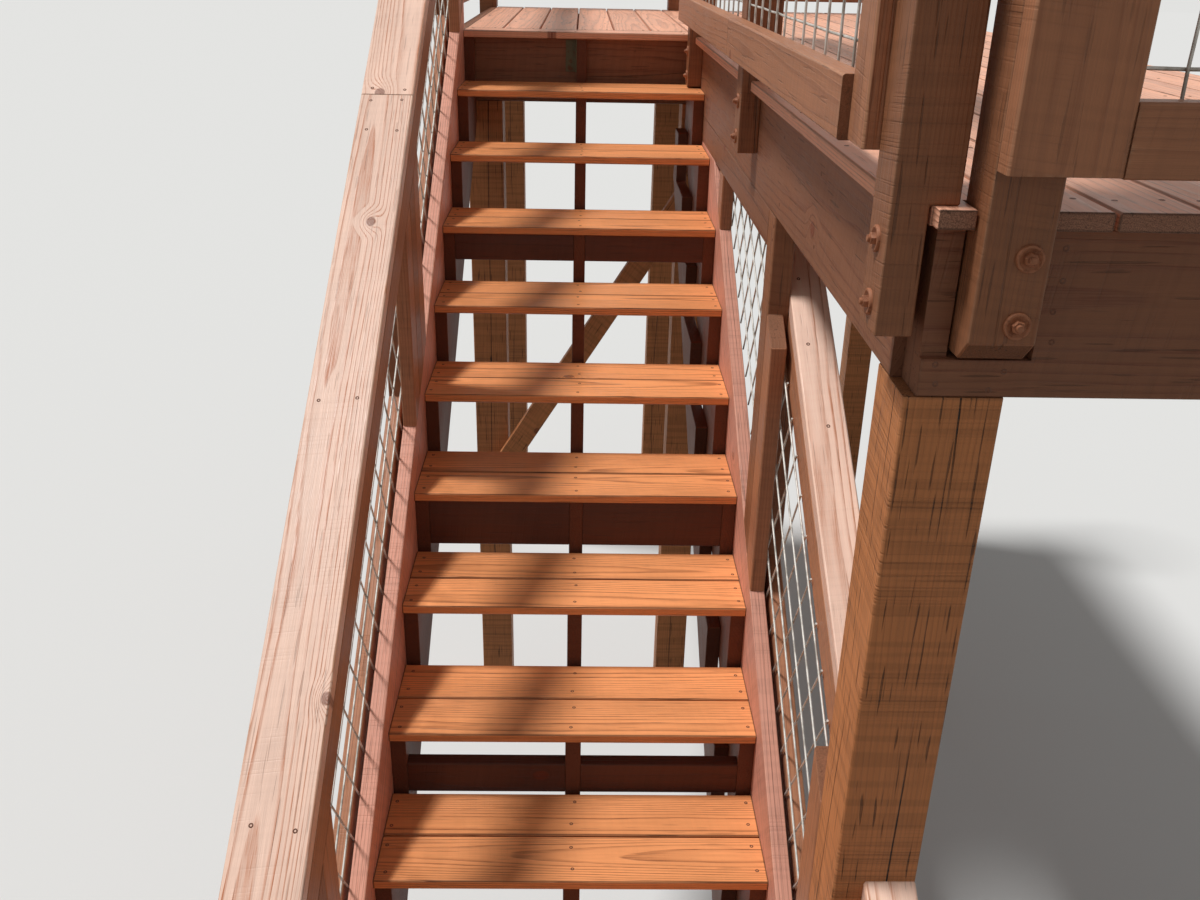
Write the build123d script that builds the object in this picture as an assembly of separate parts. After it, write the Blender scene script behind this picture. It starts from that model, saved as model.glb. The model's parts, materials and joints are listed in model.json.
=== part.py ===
from build123d import *
import math
import os

# Wooden deck stairs: a straight flight with open risers climbs beside a raised deck to its landing.
# X runs across the flight, Y runs up it towards the landing, Z is up from the ground. All in millimetres.
# In the layout the landing's front edge lies at y = 0 and the flight's centre line at x = 0.
# The finished part stands with its origin under the middle of everything.

# Flight
rise = 181.0
going = 286.0
riser_count = 17
flight_width = 894.0
nosing = 12.0

# Lumber, at its dressed sizes
thick = 38.1
width_4 = 88.9
width_5 = 114.3
width_6 = 139.7
width_10 = 235.0
width_12 = 285.75
board_thick = 25.4
board_gap = 5.0
ease = 3.0
butt_gap = 2.0

# Landing and deck
landing_depth = 1830.0
horn_depth = 38.0
deck_width = 1297.3
deck_overhang = 29.0
deck_front = -3062.0
front_setback = 22.0
rim_setback = 40.0
rim_step = 17.0
joist_pitch = 406.4

# Railings of the flight, their heights measured plumb above the nosings
rail_height = 780.0
skirt_rise = 80.0
post_notch = 50.8
post_tail = 330.0
cap_overhang = 60.0
cap_joint_back = -1352.0
left_post_backs = [-1426.0, -2926.0, -4426.0]
right_post_back = -1846.0
foot_post_back = -4426.0
ledge_stile_back = -861.0

# Welded wire mesh
wire = 4.8
mesh_pitch = 101.6
mesh_clear = 4.0
mesh_lap = 25.0

# Guard round the deck, its heights measured above the boards
guard_height = 965.0
guard_low_rail = 52.0
guard_foot_drop = 175.0
side_guard_backs = [-1510.0, -40.0]
front_post_offset = 57.0
front_post_chamfer = 30.0
front_foot_clear = 9.0
front_notch_clear = 20.0
front_notch_depth = 180.0
front_recess = 10.0
foot_clear = 3.0
trim_inset = 15.0
cap_lap = 6.0

# Carrying frame below
low_block_drop = 75.0
brace_rise = 1512.0
brace_top_drop = 465.0
sister_shift = 148.0
sister_drop = 139.0
angle_leg = 42.0
angle_thick = 3.0
angle_height = 117.0

landing_top = rise * riser_count
slope = rise / going
stretch = math.hypot(1.0, slope)
half = flight_width / 2.0
toe = nosing - going * (riser_count - 1)
landing_face = nosing + horn_depth
skirt_outer = half + thick
frame_outer = half + width_4
rail_inner = frame_outer - thick
deck_under = landing_top - board_thick
rim_bottom = deck_under - width_10
ledge_bottom = rim_bottom - width_4
deck_pitch = width_6 + board_gap
deck_edge = half - deck_overhang
deck_right = deck_edge + deck_width
rim_front = deck_front + front_setback
rim_back = landing_depth - rim_setback
inner_rim_front = rim_front + thick
inner_rim_back = inner_rim_front + thick
rail_top = rail_height - thick * stretch
rail_under = rail_top - width_4 * stretch
skirt_foot = toe - skirt_rise
cap_foot = foot_post_back - width_4 - cap_overhang
guard_post_top = landing_top + guard_height - thick
guard_low_top = landing_top + guard_low_rail + width_4
side_post_outer = half - post_notch
side_rail = (side_post_outer - thick, side_post_outer)
front_post_back = inner_rim_front
front_post_front = front_post_back - width_4
front_rail = (front_post_front - thick, front_post_front)
back_post_outer = rim_back + post_notch
back_rail = (back_post_outer, back_post_outer + thick)
left_rail = (-frame_outer - thick, -frame_outer)
right_cap_back = (rim_bottom - mesh_clear - rail_height - landing_top) / slope

nodes = {}


def nose_line(y):
    """Height of the line through the front edges of the treads."""
    return landing_top + slope * y


def level(z):
    """Level end of an upright piece."""
    return lambda y: z


def above_nosing(height):
    """End of an upright piece that is cut to the pitch of the flight."""
    return lambda y: nose_line(y) + height


def prism(x, points):
    """Solid between two values of X, of an outline in the Y and Z plane."""
    face = make_face(Polyline(*[(x[0], y, z) for y, z in points], close=True))
    return extrude(face, amount=x[1] - x[0], dir=(1, 0, 0)).solid()


def timber(x, y, z, eased=ease):
    """Straight piece of lumber between two values of each axis, its long edges eased where they show."""
    size = [x[1] - x[0], y[1] - y[0], z[1] - z[0]]
    corner = (Align.MIN, Align.MIN, Align.MIN)
    solid = Box(*size, align=corner).moved(Location((x[0], y[0], z[0]))).solid()
    if eased > 0:
        along = [Axis.X, Axis.Y, Axis.Z][size.index(max(size))]
        solid = chamfer(solid.edges().filter_by(along), eased).solid()
    return solid


def raked(x, y, top, depth):
    """Piece that follows the flight, with plumb ends and its top edge so far above the nosings."""
    low = top - depth * stretch
    outline = [
        (y[0], nose_line(y[0]) + low),
        (y[1], nose_line(y[1]) + low),
        (y[1], nose_line(y[1]) + top),
        (y[0], nose_line(y[0]) + top),
    ]
    solid = prism(x, outline)
    pitch_line = Axis((0, 0, 0), (0, 1, slope))
    return chamfer(solid.edges().filter_by(pitch_line), ease).solid()


def upright(x, y, low, high):
    """Piece that stands plumb, with ends that are level or cut to the pitch."""
    return prism(x, [(y[0], low(y[0])), (y[1], low(y[1])), (y[1], high(y[1])), (y[0], high(y[0]))])


def ease_corners(solid):
    """Eases the plumb edges at the two sides of an upright piece."""
    rows = solid.edges().filter_by(Axis.Z).group_by(Axis.X)
    return solid.chamfer(ease, None, list(rows[0]) + list(rows[-1])).solid()


def to_left(solid):
    """The same piece on the left side of the flight."""
    return mirror(solid, about=Plane.YZ).solid()


def without(solid, boxes):
    """Solid cut back by each of the boxes that it meets, each given as spans of X, Y and Z."""
    reach = solid.bounding_box()
    for x, y, z in boxes:
        apart = x[0] > reach.max.X or x[1] < reach.min.X or y[0] > reach.max.Y or y[1] < reach.min.Y
        if not apart:
            solid = (solid - timber(x, y, z, 0)).solid()
    return solid


# Flight: treads of two boards, notched stringers and whole skirt boards
def tread(k):
    top = landing_top - k * rise
    boards = []
    for n in range(2):
        front = n * deck_pitch - k * going
        boards.append(timber((-half, half), (front, front + width_6), (top - board_thick, top)))
    return boards


def stringer(x):
    """Board notched for the treads, with a horn above the top tread that meets the landing's rim."""
    outline = [(landing_face, deck_under), (nosing, deck_under)]
    for k in range(1, riser_count):
        seat = landing_top - k * rise - board_thick
        outline.append((nosing - (k - 1) * going, seat))
        outline.append((nosing - k * going, seat))
    throat = board_thick + width_12 * stretch
    outline.append((toe, 0.0))
    outline.append((nosing + (throat - landing_top) / slope, 0.0))
    outline.append((landing_face, landing_top - throat + slope * horn_depth))
    return prism(x, outline)


def sister(x):
    """Second notched board beside the right stringer, set lower and further back."""
    outline = []
    foot = width_10 / 4.0
    for k in range(1, riser_count):
        seat = landing_top - k * rise - board_thick - sister_drop
        back = min(nosing, nosing + sister_shift - (k - 1) * going)
        if seat > foot:
            outline.append((back, seat))
            outline.append((nosing + sister_shift - k * going, seat))
    depth = board_thick + sister_drop + width_10 * stretch + slope * sister_shift
    outline.append((outline[-1][0], 0.0))
    outline.append((nosing + (depth - landing_top) / slope, 0.0))
    outline.append((nosing, landing_top - depth))
    return prism(x, outline)


def skirt(x, back, ceiling):
    """Whole board outside a stringer, plumb at its foot and cut off level under the ceiling."""
    drop = width_12 * stretch - skirt_rise
    crest = min(back, (ceiling - skirt_rise - landing_top) / slope)
    heel = min(back, (ceiling + drop - landing_top) / slope)
    outline = [(skirt_foot, 0.0), (skirt_foot, nose_line(skirt_foot) + skirt_rise)]
    outline.append((crest, nose_line(crest) + skirt_rise))
    outline.append((heel, nose_line(heel) - drop))
    outline.append(((drop - landing_top) / slope, 0.0))
    return prism(x, outline)


for k in range(1, riser_count):
    nodes[f"tread_{k:02d}"] = tread(k)
nodes["stringer_left"] = [stringer((-half, -half + thick))]
nodes["stringer_middle"] = [stringer((-thick / 2.0, thick / 2.0))]
nodes["stringer_right"] = [stringer((half - thick, half))]
nodes["stringer_sister"] = [sister((half - 2.0 * thick, half - thick))]
nodes["skirt_left"] = [skirt((-skirt_outer, -half), landing_face, landing_top + guard_height)]
nodes["skirt_right"] = [skirt((half, skirt_outer), landing_face, ledge_bottom)]

# Blocks between the stringers: the tread below which each row stands, how far below it, and its depth
block_rows = [(3, 0.0, width_4), (6, 0.0, width_6), (8, low_block_drop, width_4)]
blocks = []
for k, lowered, deep in block_rows:
    front = nosing - k * going
    top = landing_top - k * rise - board_thick - lowered
    for x in ((thick - half, -thick / 2.0), (thick / 2.0, half - thick)):
        blocks.append(timber(x, (front, front + thick), (top - deep, top)))
nodes["stringer_blocks"] = blocks

# Steel angle between the middle stringer and the landing's rim
angle_z = (deck_under - mesh_clear - angle_height, deck_under - mesh_clear)
angle_x = (-thick / 2.0 - angle_leg, -thick / 2.0)
rim_leg = timber(angle_x, (landing_face - angle_thick, landing_face), angle_z, 0)
stringer_leg = timber((angle_x[1] - angle_thick, angle_x[1]), (nosing, landing_face), angle_z, 0)
nodes["stringer_angle"] = [(rim_leg + stringer_leg).solid()]


# Railings of the flight. Posts stand outside the skirt boards and are notched over them.
def rail_post(back, inner_top, outer_top, inner_depth):
    """Post on the right side; its inner part, above the skirt, may rise higher than its outer part."""
    y = (back - width_4, back)
    tail = max(0.0, nose_line(y[0]) + skirt_rise - post_tail)
    foot = upright((skirt_outer, frame_outer), y, level(tail), above_nosing(skirt_rise))
    outer = upright((half + inner_depth, frame_outer), y, above_nosing(skirt_rise), outer_top)
    inner = upright((half, half + inner_depth), y, above_nosing(skirt_rise), inner_top)
    return ease_corners((foot + outer + inner).solid())


def stile(y, low, high):
    """Flat upright between a skirt board and what runs above it."""
    return ease_corners(upright((half, skirt_outer), y, low, high))


def beside(back):
    """Spans of Y of the stiles in front of a post and behind it."""
    return (back - 2.0 * width_4, back - width_4), (back, back + width_4)


under_rail = above_nosing(rail_under)
under_cap = above_nosing(rail_top)
on_skirt = above_nosing(skirt_rise)
top_post_back = landing_face
top_post_front = top_post_back - width_4

left_posts = [to_left(rail_post(back, under_rail, under_cap, thick)) for back in left_post_backs]
nodes["rail_posts_left"] = left_posts
left_stiles = [stile((top_post_front - width_4, top_post_front), on_skirt, under_rail)]
for back in left_post_backs:
    front_side, back_side = beside(back)
    left_stiles.append(stile(back_side, on_skirt, under_rail))
    if back != foot_post_back:
        left_stiles.append(stile(front_side, on_skirt, under_rail))
nodes["stiles_left"] = [to_left(piece) for piece in left_stiles]
left_run = (foot_post_back - width_4, top_post_front)
nodes["top_rail_left"] = [to_left(raked((half, skirt_outer), left_run, rail_top, width_4))]
cap_spans = [(cap_foot, cap_joint_back - butt_gap), (cap_joint_back, top_post_front)]
nodes["cap_left"] = [to_left(raked((half, half + width_6), y, rail_height, thick)) for y in cap_spans]

# On the right the deck's corner post takes the place of a middle post, notched over the skirt board too
corner_y = (rim_front, rim_front + width_6)
corner_x = (half, half + width_6)
corner_inner = upright((half, skirt_outer), corner_y, on_skirt, level(rim_bottom))
corner_outer = upright((skirt_outer, corner_x[1]), corner_y, level(0.0), level(rim_bottom))
nodes["corner_post"] = [ease_corners((corner_inner + corner_outer).solid())]
ledge_post = rail_post(right_post_back, level(rim_bottom), under_rail, post_notch)
foot_post = rail_post(foot_post_back, under_cap, under_rail, post_notch)
nodes["rail_posts_right"] = [ledge_post, foot_post]
right_stiles = [stile((ledge_stile_back - width_4, ledge_stile_back), on_skirt, level(ledge_bottom))]
right_stiles.append(stile(beside(right_post_back)[0], on_skirt, under_cap))
right_stiles.append(stile((corner_y[1], corner_y[1] + width_4), on_skirt, under_cap))
right_stiles.append(stile((corner_y[0] - width_4, corner_y[0]), on_skirt, under_cap))
right_stiles.append(stile(beside(foot_post_back)[1], on_skirt, under_cap))
nodes["stiles_right"] = right_stiles
right_rail_spans = [(corner_y[1], right_cap_back), (foot_post_back - width_4, corner_y[0])]
right_cap_spans = [(corner_y[1], right_cap_back), (cap_foot, corner_y[0])]
right_cap_x = (half + post_notch, half + post_notch + width_4)
nodes["top_rail_right"] = [
    raked((rail_inner, frame_outer), y, rail_top, width_4) for y in right_rail_spans
]
nodes["cap_right"] = [raked(right_cap_x, y, rail_height, thick) for y in right_cap_spans]

# Bays between the posts, where the low outer rails and the mesh go
left_bays = []
upper_front = top_post_front
for back in left_post_backs:
    left_bays.append((back, upper_front))
    upper_front = back - width_4
right_bays = [(corner_y[1], right_post_back - width_4), (foot_post_back, corner_y[0])]
outer_x = (rail_inner, frame_outer)
nodes["low_rail_left"] = [to_left(raked(outer_x, y, skirt_rise, width_4)) for y in left_bays]
nodes["low_rail_right"] = [raked(outer_x, y, skirt_rise, width_4) for y in right_bays]


# Welded wire mesh: wires of one direction lie on those of the other and are welded where they cross
def inside(outline, point, heading):
    """Span of a straight line that lies inside a convex outline, which runs counter-clockwise."""
    low, high = -math.inf, math.inf
    for start, end in zip(outline, outline[1:] + outline[:1]):
        edge = (end[0] - start[0], end[1] - start[1])
        side = edge[0] * (point[1] - start[1]) - edge[1] * (point[0] - start[0])
        turn = edge[0] * heading[1] - edge[1] * heading[0]
        if abs(turn) < 1e-9 and side < 0:
            return 0.0, 0.0
        if turn > 1e-9:
            low = max(low, -side / turn)
        if turn < -1e-9:
            high = min(high, -side / turn)
    return low, high


def crossings(span):
    """Number of crossing wires on a span of a wire, with a wire's width to spare at both ends."""
    return math.floor((span[1] - wire) / mesh_pitch) - math.ceil((span[0] + wire) / mesh_pitch) + 1


def mesh_panel(plane, outline, angle):
    """Mesh in a plane, cut to an outline, with its wires turned by an angle in degrees."""
    turned = math.radians(angle)
    wires = []
    for layer in range(2):
        heading = (math.cos(turned), math.sin(turned))
        across = (-heading[1], heading[0])
        offsets = [u * across[0] + v * across[1] for u, v in outline]
        for i in range(math.ceil(min(offsets) / mesh_pitch), math.floor(max(offsets) / mesh_pitch) + 1):
            start = (i * mesh_pitch * across[0], i * mesh_pitch * across[1])
            span = inside(outline, start, heading)
            if crossings(span) > 0:
                length = span[1] - span[0]
                middle = (span[0] + span[1]) / 2.0
                place = (start[0] + middle * heading[0], start[1] + middle * heading[1])
                lay = Location((*place, (0.5 + layer) * wire), (0, 0, math.degrees(turned)))
                wires.append(Box(length, wire, wire).moved(lay))
        turned += math.pi / 2.0
    panel = wires[0].fuse(*wires[1:])
    return max(panel.moved(plane.location).solids(), key=lambda solid: solid.volume)


def rail_mesh(bay, top):
    """Mesh of one bay on the outer face of the stiles and the skirt board, on the right side."""
    y = (bay[0] + mesh_clear, bay[1] - mesh_clear)
    low = skirt_rise - mesh_lap * stretch
    outline = [(y[0], nose_line(y[0]) + low), (y[1], nose_line(y[1]) + low)]
    outline += [(y[1], top(y[1])), (y[0], top(y[0]))]
    plane = Plane(origin=(skirt_outer, 0, 0), x_dir=(0, 1, 0), z_dir=(1, 0, 0))
    return mesh_panel(plane, outline, math.degrees(math.atan(slope)))


mesh_top = above_nosing(rail_under + mesh_lap * stretch)
ledge_bay = (right_post_back, ledge_stile_back)
nodes["mesh_left"] = [to_left(rail_mesh(bay, mesh_top)) for bay in left_bays]
nodes["mesh_right"] = [rail_mesh(bay, mesh_top) for bay in right_bays]
nodes["mesh_right"].append(rail_mesh(ledge_bay, level(ledge_bottom + mesh_lap)))

# Rims of the landing and the deck, all boards on edge
rim_z = (rim_bottom, deck_under)
front_rim_x = (half + rim_step, deck_right)
nodes["landing_front_rim"] = [timber((-half, half), (landing_face, landing_face + thick), rim_z)]
left_rim_z = (landing_top - width_10, landing_top)
nodes["landing_left_rim"] = [timber((-skirt_outer, -half), (landing_face, rim_back), left_rim_z)]
nodes["side_ledge"] = [timber((half, skirt_outer), (right_post_back, nosing), (ledge_bottom, rim_bottom))]
nodes["deck_inner_rim"] = [timber(front_rim_x, (inner_rim_front, inner_rim_back), rim_z)]
side_rim_y = (inner_rim_back, rim_back - thick)
nodes["deck_side_rim"] = [timber((half, skirt_outer), side_rim_y, rim_z)]
nodes["deck_right_rim"] = [timber((deck_right - thick, deck_right), side_rim_y, rim_z)]
nodes["back_rim"] = [timber((-half, deck_right), (rim_back - thick, rim_back), rim_z)]

# The outer front rim is notched round the front posts of the guard, and cut back thinner beyond them
left_front_post = (half + front_post_offset, half + front_post_offset + width_4)
right_front_post = (deck_right - front_post_offset - width_4, deck_right - front_post_offset)
notch_z = (deck_under - front_notch_depth, deck_under + board_thick)
notch_y = (rim_front - thick, rim_front + thick)
recess_y = (rim_front - thick, rim_front + front_recess)
rim_cuts = [
    ((left_front_post[0] - foot_clear, left_front_post[1] + front_notch_clear), notch_y, notch_z),
    ((right_front_post[0] - front_notch_clear, right_front_post[1] + foot_clear), notch_y, notch_z),
    ((half, left_front_post[0]), recess_y, notch_z),
    ((right_front_post[1], deck_right + thick), recess_y, notch_z),
]
outer_rim = timber(front_rim_x, (rim_front, inner_rim_front), rim_z)
nodes["deck_outer_rim"] = [without(outer_rim, rim_cuts)]

# Joists, with one under the joint between the landing's nosing board and the boards behind it
landing_joists = []
y = width_6 + board_gap / 2.0 - thick / 2.0
while y + thick < rim_back - thick:
    landing_joists.append(timber((-half, half), (y, y + thick), rim_z, 0))
    y += joist_pitch
nodes["landing_joists"] = landing_joists
deck_joists = []
y = inner_rim_back + joist_pitch - thick
while y + thick < rim_back - thick:
    deck_joists.append(timber((skirt_outer, deck_right - thick), (y, y + thick), rim_z, 0))
    y += joist_pitch
nodes["deck_joists"] = deck_joists


# Posts under the deck, six inches square, and the brace across the landing's front pair
def under_post(left, front):
    solid = timber((left, left + width_6), (front, front + width_6), (0.0, rim_bottom), 0)
    return ease_corners(solid)


middle_left = half + thick / 2.0 - width_6 / 2.0
right_left = deck_right - width_6
back_front = rim_back - width_6
post_places = [(-half, landing_face), (middle_left, landing_face), (right_left, landing_face)]
post_places += [(-half, back_front), (middle_left, back_front), (right_left, back_front)]
post_places.append((right_left, rim_front))
nodes["under_posts"] = [under_post(*place) for place in post_places]

brace_x = (-half + thick / 2.0, middle_left + width_6 - thick / 2.0)
brace_top = landing_top - brace_top_drop
brace_run = brace_x[1] - brace_x[0]
brace_half = width_4 / 2.0 * math.hypot(1.0, brace_rise / brace_run)
brace_points = [
    (brace_x[0], brace_top - brace_rise - brace_half),
    (brace_x[1], brace_top - brace_half),
    (brace_x[1], brace_top + brace_half),
    (brace_x[0], brace_top - brace_rise + brace_half),
]
brace_face = make_face(Polyline(*[(x, nosing, z) for x, z in brace_points], close=True))
nodes["landing_brace"] = [extrude(brace_face, amount=horn_depth, dir=(0, 1, 0)).solid()]


# Posts of the guard, bolted outside the rims, with a shoulder on the boards
def guard_post(foot, head):
    """Post with its foot outside a rim and a wider head above the boards, each a span of X and one of Y."""
    foot_z = (landing_top - guard_foot_drop, landing_top)
    lower = timber(foot[0], foot[1], foot_z, 0)
    upper = timber(head[0], head[1], (landing_top, guard_post_top), 0)
    return (lower + upper).solid()


side_posts_y = [(rim_front, rim_front + width_4)]
side_posts_y += [(back - width_4, back) for back in side_guard_backs]
side_foot_x = (side_post_outer, half)
side_head_x = (side_post_outer, side_post_outer + width_4)
back_foot_y = (rim_back, back_post_outer)
back_head_y = (back_post_outer - width_4, back_post_outer)
back_posts_x = [(half, half + width_4), (deck_right - width_4, deck_right)]
guard_posts = [guard_post((side_foot_x, y), (side_head_x, y)) for y in side_posts_y]
guard_posts += [guard_post((x, back_foot_y), (x, back_head_y)) for x in back_posts_x]
left_back_x = (-frame_outer, -half)
guard_posts.append(guard_post(((-frame_outer, -skirt_outer), back_head_y), (left_back_x, back_head_y)))
front_post_z = (notch_z[0] + front_foot_clear, guard_post_top)
for x in (left_front_post, right_front_post):
    post = timber(x, (front_post_front, front_post_back), front_post_z, 0)
    low_edge = post.edges().filter_by(Axis.X).group_by(Axis.Z)[0].sort_by(Axis.Y)[0]
    guard_posts.append(chamfer(low_edge, front_post_chamfer).solid())
top_post_tail = level(nose_line(top_post_front) + skirt_rise - post_tail)
top_post_y = (top_post_front, top_post_back)
top_post_foot = upright((skirt_outer, frame_outer), top_post_y, top_post_tail, on_skirt)
top_post_head = upright((half, frame_outer), top_post_y, on_skirt, level(guard_post_top))
guard_posts.append(to_left((top_post_foot + top_post_head).solid()))
nodes["guard_posts"] = guard_posts

# Boards of the landing and the deck, cut round the feet of the posts, with a wider one along the deck's edge
board_z = (deck_under, landing_top)
wide_z = (deck_under - thick, landing_top + thick)
foot_spans = [(side_foot_x, y) for y in side_posts_y]
foot_spans += [(x, back_foot_y) for x in back_posts_x]
foot_spans += [(x, (front_post_front, front_post_back)) for x in (left_front_post, right_front_post)]
foot_holes = []
for x, y in foot_spans:
    wide_x = (x[0] - foot_clear, x[1] + foot_clear)
    wide_y = (y[0] - foot_clear, y[1] + foot_clear)
    foot_holes.append((wide_x, wide_y, wide_z))
foot_holes.append(((0.0, half + 2.0 * foot_clear), (deck_front - thick, rim_front), wide_z))
nosing_board = timber((-half, deck_edge - board_gap), (0.0, width_6), board_z)
nodes["landing_nosing"] = [nosing_board]
landing_boards = []
right = deck_edge - board_gap
while right - (-half) > board_gap:
    left = max(-half, right - width_6)
    board = timber((left, right), (width_6 + board_gap, landing_depth), board_z)
    landing_boards.append(without(board, foot_holes))
    right = left - board_gap
nodes["landing_boards"] = landing_boards
deck_run = (deck_front, landing_depth)
border_board = timber((deck_edge, deck_edge + width_6), deck_run, board_z)
nodes["deck_border"] = [without(border_board, foot_holes)]
deck_strip = []
left = deck_edge + deck_pitch
while deck_right - left > board_gap:
    right = min(left + width_5, deck_right)
    deck_strip.append(without(timber((left, right), deck_run, board_z), foot_holes))
    left = right + board_gap
nodes["deck_boards"] = deck_strip

# Rails, caps, trims and mesh of the guard
low_z = (landing_top + guard_low_rail, guard_low_top)
high_z = (guard_post_top - width_4, guard_post_top)
cap_z = (guard_post_top, landing_top + guard_height)
trim_y = (side_posts_y[0][1], side_posts_y[0][1] + width_4)
trim_x = (side_rail[0] + trim_inset, side_rail[1] + trim_inset)
left_upright = (left_front_post[0], left_front_post[0] + width_6)
right_upright = (right_front_post[1] - width_6, right_front_post[1])
side_joint = side_posts_y[1][0] + width_4 / 2.0
side_end = side_posts_y[-1][1]
corner_reach = back_rail[1]
guard_rails = []
for z in (low_z, high_z):
    guard_rails.append(timber(side_rail, (trim_y[1], side_joint - butt_gap), z))
    guard_rails.append(timber(side_rail, (side_joint, side_end), z))
    guard_rails.append(timber((left_upright[1], right_upright[0]), front_rail, z))
    guard_rails.append(timber(left_rail, (top_post_front, corner_reach), z))
    guard_rails.append(timber((left_rail[1] + butt_gap, deck_right), back_rail, z))
nodes["guard_rails"] = guard_rails
upright_z = (low_z[0] + butt_gap, guard_post_top)
nodes["guard_trims"] = [
    timber(trim_x, trim_y, upright_z),
    timber(left_upright, front_rail, upright_z),
    timber(right_upright, front_rail, upright_z),
]
side_cap = (side_rail[0] - cap_lap, side_rail[0] - cap_lap + width_6)
front_cap = (front_rail[0] - cap_lap, front_rail[0] - cap_lap + width_6)
back_cap = (back_rail[1] + cap_lap - width_6, back_rail[1] + cap_lap)
left_cap = (left_rail[0] - cap_lap, left_rail[0] - cap_lap + width_6)
nodes["guard_caps"] = [
    timber(side_cap, (side_posts_y[0][0] - cap_lap, side_end + cap_lap), cap_z),
    timber((side_cap[1] + butt_gap, deck_right), front_cap, cap_z),
    timber(left_cap, (top_post_front - cap_lap, back_cap[1]), cap_z),
    timber((left_cap[1] + butt_gap, deck_right), back_cap, cap_z),
]
mesh_low = guard_low_top - mesh_lap
mesh_high = guard_post_top - width_4 + mesh_lap


def guard_mesh(plane, span, angle):
    """Mesh of one bay of the guard, turned so that its upright wires lie against the rails."""
    u = (span[0] + mesh_clear, span[1] - mesh_clear)
    corners = [(u[0], mesh_low), (u[1], mesh_low), (u[1], mesh_high), (u[0], mesh_high)]
    return mesh_panel(plane, corners, angle)


side_plane = Plane(origin=(side_rail[1], 0, 0), x_dir=(0, 1, 0), z_dir=(1, 0, 0))
side_spans = [(trim_y[1], side_posts_y[1][0]), (side_posts_y[1][1], side_posts_y[2][0])]
nodes["guard_mesh_side"] = [guard_mesh(side_plane, span, 90.0) for span in side_spans]
front_plane = Plane(origin=(0, front_rail[1] + 2.0 * wire, 0), x_dir=(1, 0, 0), z_dir=(0, -1, 0))
nodes["guard_mesh_front"] = [guard_mesh(front_plane, (left_front_post[1], right_front_post[0]), 0.0)]

# Every piece is written with the origin on the ground, under the middle of the whole
whole = Compound([solid for solids in nodes.values() for solid in solids]).bounding_box()
shift = Location((-whole.center().X, -whole.center().Y, -whole.min.Z))
os.makedirs("parts", exist_ok=True)
for name, solids in nodes.items():
    placed = [solid.moved(shift) for solid in solids]
    export_step(placed[0] if len(placed) == 1 else Compound(children=placed), f"parts/{name}.step")
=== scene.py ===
import json
import math
import random

import bmesh
import bpy
from bpy.props import FloatProperty, FloatVectorProperty, IntProperty, PointerProperty
from mathutils import Matrix, Vector


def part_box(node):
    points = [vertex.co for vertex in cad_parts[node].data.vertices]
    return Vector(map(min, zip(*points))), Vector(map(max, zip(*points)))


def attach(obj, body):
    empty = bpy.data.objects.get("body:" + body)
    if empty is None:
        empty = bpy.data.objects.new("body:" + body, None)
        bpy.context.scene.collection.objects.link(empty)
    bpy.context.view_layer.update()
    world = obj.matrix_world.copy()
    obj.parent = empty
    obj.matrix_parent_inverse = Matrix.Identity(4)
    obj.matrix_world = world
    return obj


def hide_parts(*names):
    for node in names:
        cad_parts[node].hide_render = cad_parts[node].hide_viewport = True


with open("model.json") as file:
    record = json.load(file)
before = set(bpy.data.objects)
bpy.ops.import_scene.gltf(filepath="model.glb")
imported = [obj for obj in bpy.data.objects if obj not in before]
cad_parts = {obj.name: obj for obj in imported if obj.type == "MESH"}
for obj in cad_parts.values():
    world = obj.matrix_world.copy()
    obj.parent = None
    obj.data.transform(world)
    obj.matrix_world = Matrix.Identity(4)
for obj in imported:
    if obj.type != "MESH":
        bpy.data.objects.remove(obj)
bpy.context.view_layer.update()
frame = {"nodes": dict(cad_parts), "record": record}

bl_info = {
    "name": "Deck Stairs",
    "version": (1, 0, 0),
    "blender": (4, 5, 0),
    "location": "3D View > Sidebar > Deck Stairs",
    "description": "Timber, wire mesh and fasteners of a wooden deck stair, on its CAD frame",
    "category": "Object",
}

SLOTS = {entry["node"]: entry["material_slot"] for entry in frame["record"]["subparts"]}
SEED = 41

# Start of the finishes' names, because the frame's own materials are named after the slots
FINISH = "finish_"

# Distance at which vertices are one, angle at which faces are one, and angle past which an
# edge is eased
WELD = 1e-5
FLAT = math.radians(0.5)
SHARP = math.radians(25.0)

ACROSS = Vector((1.0, 0.0, 0.0))
ALONG = Vector((0.0, 1.0, 0.0))
UP = Vector((0.0, 0.0, 1.0))
LEFT = Vector((-1.0, 0.0, 0.0))
FRONT = Vector((0.0, -1.0, 0.0))

# Lumber and how it is spaced
THICK = 0.0381
WIDTH_4 = 0.0889
WIDTH_6 = 0.1397
DECK_BOARD = 0.1143
LAST_BOARD = 0.0789
BOARD_GAP = 0.005
BOARD_PITCH = WIDTH_6 + BOARD_GAP
DECK_PITCH = DECK_BOARD + BOARD_GAP
JOIST_STEP = 0.4064

# The flight: its centre line, the landing's front edge and the line through the nosings
RISE = 0.181
GOING = 0.286
HALF = 0.447
TREADS = 16
SLOPE = RISE / GOING
STRETCH = math.hypot(1.0, SLOPE)
LANDING_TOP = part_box("landing_nosing")[1].z
CENTRE_X = (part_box("stringer_middle")[0].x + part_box("stringer_middle")[1].x) / 2.0
EDGE_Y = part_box("landing_nosing")[0].y
SKIRT_OUTER = HALF + THICK
SKIRT_RISE = 0.080
FRAME_OUTER = HALF + WIDTH_4
RAIL_HEIGHT = 0.780
RAIL_UNDER = RAIL_HEIGHT - (THICK + WIDTH_4) * STRETCH
RAIL_POSTS_Y = (-1.470, -2.970, -4.470)

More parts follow.
